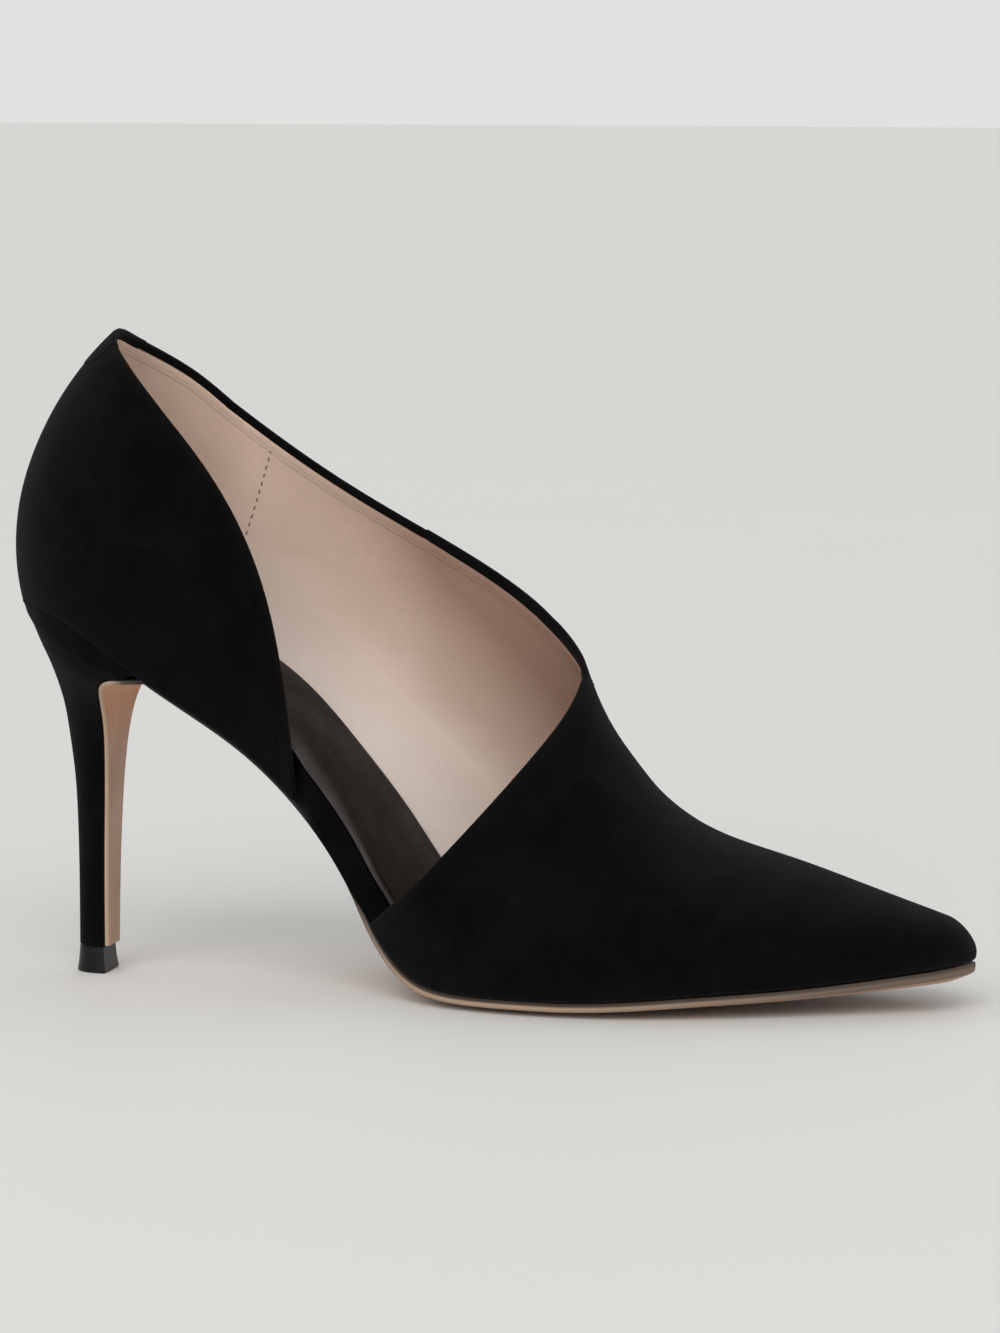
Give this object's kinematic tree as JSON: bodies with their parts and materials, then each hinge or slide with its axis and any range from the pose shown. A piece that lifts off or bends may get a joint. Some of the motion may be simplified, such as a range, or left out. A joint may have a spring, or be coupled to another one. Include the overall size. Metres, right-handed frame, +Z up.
{
  "type": "dorsay pump",
  "caption": "High-heeled pump for the left foot with a pointed toe, a high closed outer side and a cut-out that opens its inner side down to the sole.",
  "frame": {"origin": "centre of the heel tip's underside, on the floor", "axes": "+X to the toe, +Y to the outer (lateral) side, +Z up"},
  "size_m": [0.229, 0.08, 0.1531],
  "materials": {
    "upper": "matte suede nap",
    "insole": "satin leather wrap",
    "sock": "satin",
    "outsole": "satin, dark burnished edge",
    "heel": "matte suede nap",
    "top_piece": "matte"
  },
  "bodies": {
    "root": {"upper": "upper", "insole": "insole", "sock": "sock", "outsole": "outsole", "heel": "heel", "top_piece": "top_piece"}
  },
  "joints": []
}
